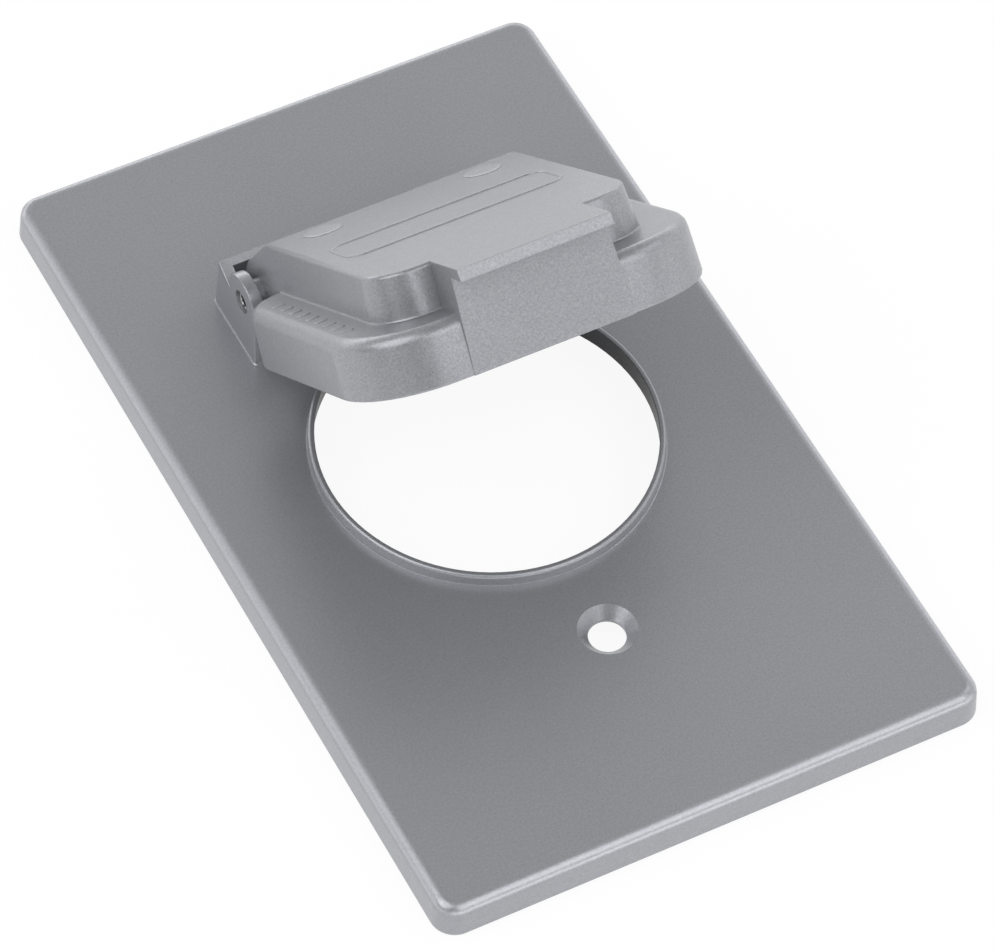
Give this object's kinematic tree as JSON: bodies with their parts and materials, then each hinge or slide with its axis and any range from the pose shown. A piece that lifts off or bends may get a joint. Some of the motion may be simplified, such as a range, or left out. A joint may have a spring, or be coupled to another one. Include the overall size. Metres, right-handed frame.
{
  "type": "weatherproof outlet cover",
  "caption": "Oblong die-cast cover plate with a round outlet opening in a raised collar, and a gasketed flip lid with a finger tab on a hinge pin.",
  "frame": {"origin": "middle of the plate's back, on the plane that lies against the box", "axes": "+Z out of the plate's face, +Y along the plate towards the hinge, +X across it"},
  "size_m": [0.0698, 0.1142, 0.0505],
  "materials": {
    "grey_coated_casting": "die-cast aluminium with a grey satin coat and a fine grain",
    "pin_steel": "plain rolled spring steel",
    "black_foam": "matt closed-cell foam rubber"
  },
  "bodies": {
    "base": {"cover_plate": "grey_coated_casting", "plate_gasket": "black_foam", "hinge_pin": "pin_steel"},
    "flap": {"lid": "grey_coated_casting", "lid_gasket": "black_foam"}
  },
  "joints": [
    {"name": "lid_hinge", "type": "hinge", "parent": "base", "child": "flap", "pos_m": [0, 0.0255, 0.0124], "axis": [-1, 0, 0], "range_deg": [-41, 62]}
  ]
}
